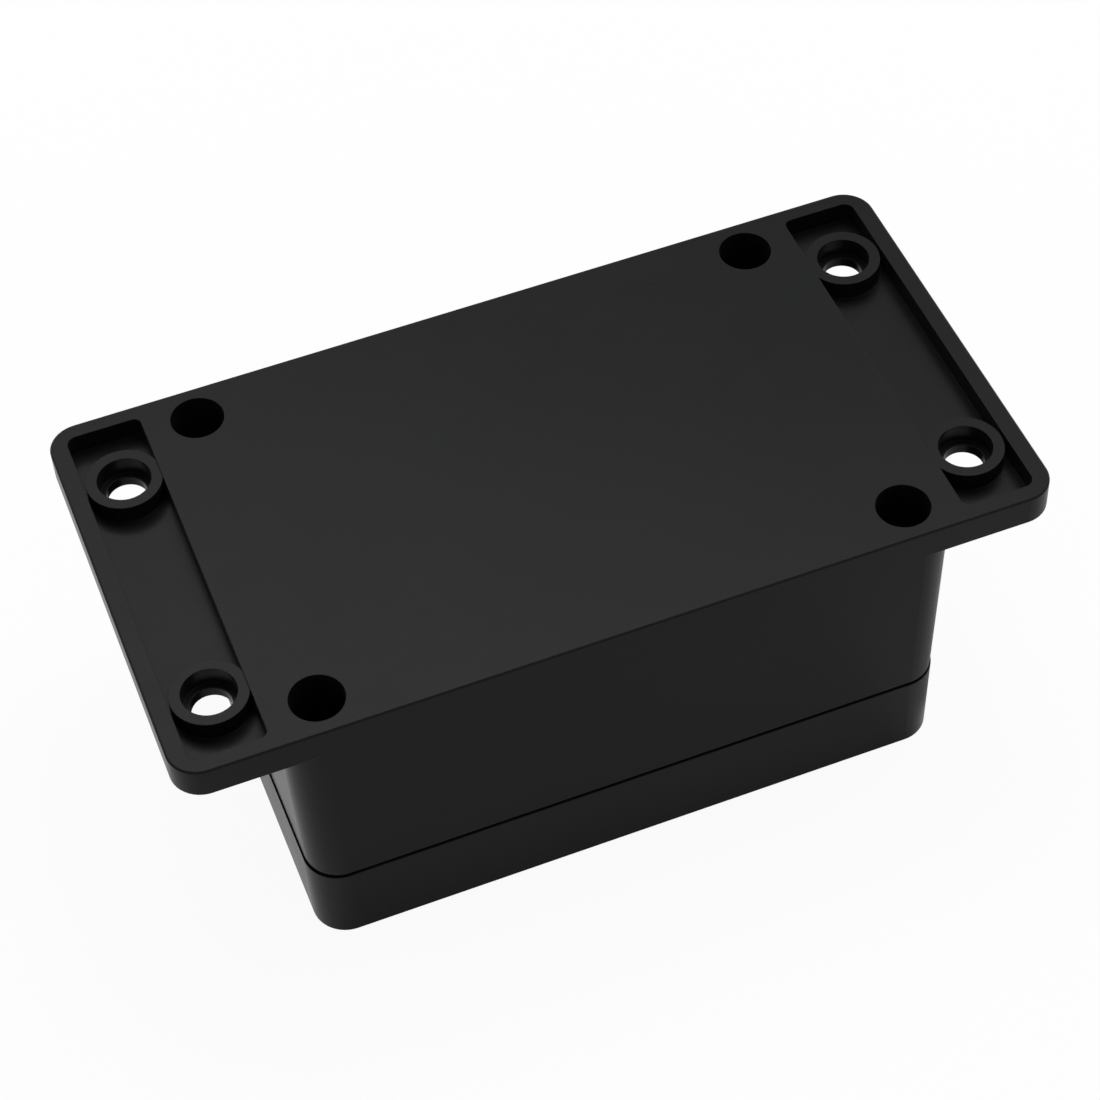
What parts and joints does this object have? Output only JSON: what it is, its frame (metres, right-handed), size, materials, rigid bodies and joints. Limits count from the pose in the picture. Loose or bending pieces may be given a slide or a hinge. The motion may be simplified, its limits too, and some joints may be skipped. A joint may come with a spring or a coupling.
{
  "type": "plastic project box",
  "caption": "Black plastic project box with a screwed, gasketed lid and a flange with counterbored ear holes, for mounting small circuits on a wall or panel.",
  "frame": {"origin": "centre of the lid's flat outer face, which the box stands on", "axes": "+X along the box's length, +Y across it towards the back of the picture's view, +Z from the lid to the flange's back face"},
  "size_m": [0.132, 0.068, 0.0495],
  "materials": {
    "black_plastic": "fine satin moulded black",
    "gasket_rubber": "matt extruded rubber",
    "screw_steel": "plain stainless steel",
    "insert_brass": "turned and knurled brass"
  },
  "bodies": {
    "lid": {"lid": "black_plastic", "gasket": "gasket_rubber"},
    "base": {"base_box": "black_plastic", "insert_front_left": "insert_brass", "insert_front_right": "insert_brass", "insert_back_left": "insert_brass", "insert_back_right": "insert_brass"},
    "screw_front_left": {"lid_screw_front_left": "screw_steel"},
    "screw_front_right": {"lid_screw_front_right": "screw_steel"},
    "screw_back_left": {"lid_screw_back_left": "screw_steel"},
    "screw_back_right": {"lid_screw_back_right": "screw_steel"}
  },
  "joints": [
    {"name": "base_lift", "type": "slide", "parent": "lid", "child": "base", "axis": [0, 0, 1], "range_m": [0, 0.06]},
    {"name": "unscrew_front_left", "type": "slide", "parent": "lid", "child": "screw_front_left", "axis": [0, 0, -1], "range_m": [0, 0.0073]},
    {"name": "unscrew_front_right", "type": "slide", "parent": "lid", "child": "screw_front_right", "axis": [0, 0, -1], "range_m": [0, 0.0073]},
    {"name": "unscrew_back_left", "type": "slide", "parent": "lid", "child": "screw_back_left", "axis": [0, 0, -1], "range_m": [0, 0.0073]},
    {"name": "unscrew_back_right", "type": "slide", "parent": "lid", "child": "screw_back_right", "axis": [0, 0, -1], "range_m": [0, 0.0073]}
  ]
}
